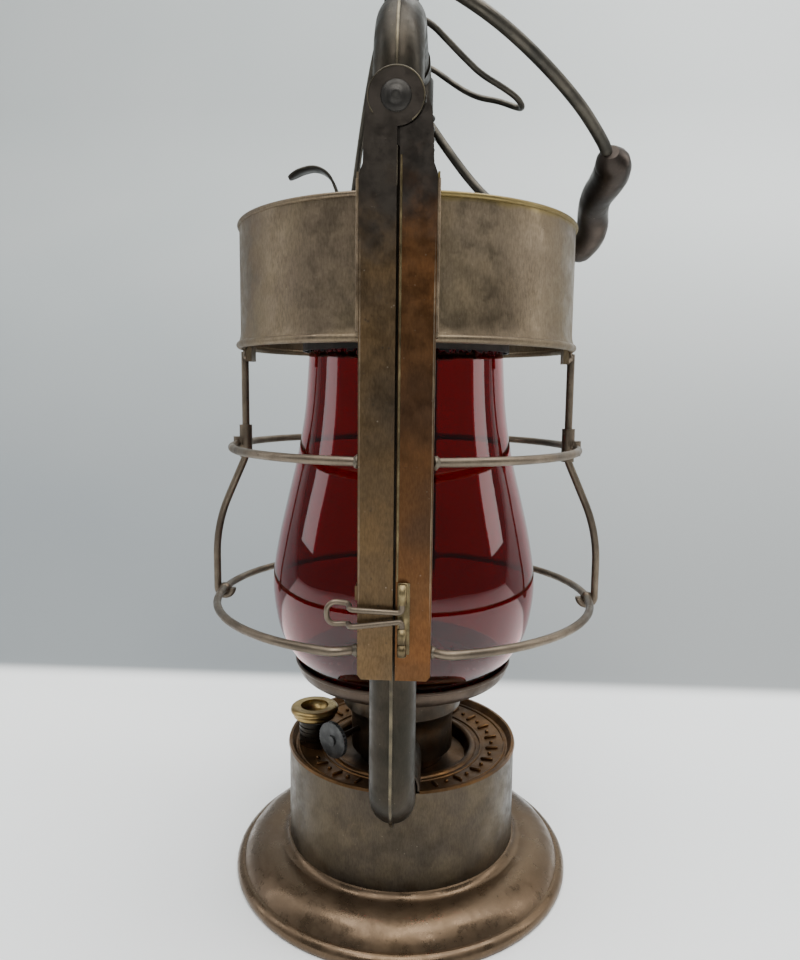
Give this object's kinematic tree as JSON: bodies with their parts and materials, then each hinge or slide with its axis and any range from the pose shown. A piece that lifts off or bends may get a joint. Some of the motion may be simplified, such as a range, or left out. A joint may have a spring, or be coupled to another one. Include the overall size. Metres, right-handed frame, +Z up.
{
  "type": "tubular railway hand lantern",
  "caption": "Tubular hand lantern with a red glass globe, a round fuel fount on a spun foot, side air tubes, a hinged wire guard with a deep hood, and a wire bail with a hollow grip.",
  "frame": {"origin": "middle of the foot, on the plane it stands on", "axes": "+Z up along the globe; the two side tubes stand on the Y axis; +X is the side where the bail lies dropped"},
  "size_m": [0.182, 0.1729, 0.3792],
  "materials": {
    "foot_tin": "worn, coppery brown",
    "fount_tin": "dull mottled",
    "burner_brass": "dark tarnished",
    "plate_tin": "sooted",
    "red_glass": "clear ruby",
    "tube_tin": "dull pewter grey",
    "channel_tin": "brown tarnish",
    "hood_tin": "warm worn tin",
    "guard_wire": "dull grey wire",
    "rivet_steel": "dark, worn bright on the edges",
    "cap_brass": "tarnished brass",
    "gasket_rubber": "matte",
    "knob_steel": "dark, milled edge",
    "wick_cotton": "woven cotton"
  },
  "bodies": {
    "root": {"foot_bell": "foot_tin", "fount_shell": "fount_tin", "fount_bottom": "fount_tin", "tank_top": "fount_tin", "fount_top": "fount_tin", "air_duct_near": "fount_tin", "air_duct_far": "fount_tin", "filler_neck": "cap_brass", "burner_collar": "fount_tin", "burner_body": "burner_brass", "wick_tube": "burner_brass", "burner_dome": "burner_brass", "globe_plate": "plate_tin", "globe": "red_glass", "tube_near_left": "tube_tin", "tube_near_right": "tube_tin", "tube_far_left": "tube_tin", "tube_far_right": "tube_tin", "crown_tube": "tube_tin", "draft_tube": "tube_tin", "dome_spring": "guard_wire", "bail_ear_near": "tube_tin", "bail_ear_far": "tube_tin", "hinge_rivet_near": "rivet_steel", "hinge_rivet_far": "rivet_steel", "channel_right_near": "channel_tin", "channel_right_far": "channel_tin", "hood_right": "hood_tin", "ring_mid_right": "guard_wire", "ring_low_right": "guard_wire", "guard_wire_right": "guard_wire", "guard_sleeve_right": "guard_wire", "latch_bracket": "channel_tin"},
    "guard_left": {"channel_left_near": "channel_tin", "channel_left_far": "channel_tin", "hood_left": "hood_tin", "ring_mid_left": "guard_wire", "ring_low_left": "guard_wire", "guard_wire_left": "guard_wire", "guard_sleeve_left": "guard_wire", "latch_catch": "channel_tin"},
    "latch": {"latch_wire": "guard_wire"},
    "bail": {"bail_wire": "guard_wire", "bail_grip": "rivet_steel"},
    "raiser": {"raiser_shaft": "burner_brass", "raiser_wheels": "burner_brass", "raiser_knob": "knob_steel"},
    "wick": {"wick": "wick_cotton"},
    "filler_cap": {"filler_cap": "cap_brass", "filler_gasket": "gasket_rubber"},
    "dome": {"globe_dome": "plate_tin", "lift_wire": "guard_wire", "thumb_tab": "rivet_steel"}
  },
  "joints": [
    {"name": "guard_left_swing", "type": "hinge", "parent": "root", "child": "guard_left", "pos_m": [0, 0, 0.3239], "axis": [0, 1, 0], "range_deg": [0, 70], "deforming": ["latch_wire"]},
    {"name": "latch_swing", "type": "hinge", "parent": "root", "child": "latch", "pos_m": [0.004, -0.0851, 0.145], "axis": [0, 0, 1], "range_deg": [0, 110]},
    {"name": "bail_swing", "type": "hinge", "parent": "root", "child": "bail", "pos_m": [0, 0, 0.374], "axis": [0, 1, 0], "range_deg": [-240, 0]},
    {"name": "raiser_turn", "type": "hinge", "parent": "root", "child": "raiser", "pos_m": [-0.00528, 0.00413, 0.0694], "axis": [-0.6157, -0.788, 0], "range_deg": [-60, 90]},
    {"name": "wick_slide", "type": "slide", "parent": "root", "child": "wick", "axis": [0, 0, 1], "range_m": [-0.0055, 0.008]},
    {"name": "filler_cap_turn", "type": "hinge", "parent": "root", "child": "filler_cap", "pos_m": [-0.0416, -0.006, 0.07], "axis": [0, 0, 1], "continuous": true},
    {"name": "dome_lift", "type": "slide", "parent": "root", "child": "dome", "axis": [0, 0, 1], "range_m": [0, 0.012], "stiffness_N_per_m": 300, "springref_m": -0.005, "deforming": ["dome_spring"]}
  ],
  "couplings": [
    {"joint": "wick_slide", "follows": "raiser_turn", "m_per_rad": 0.005}
  ]
}
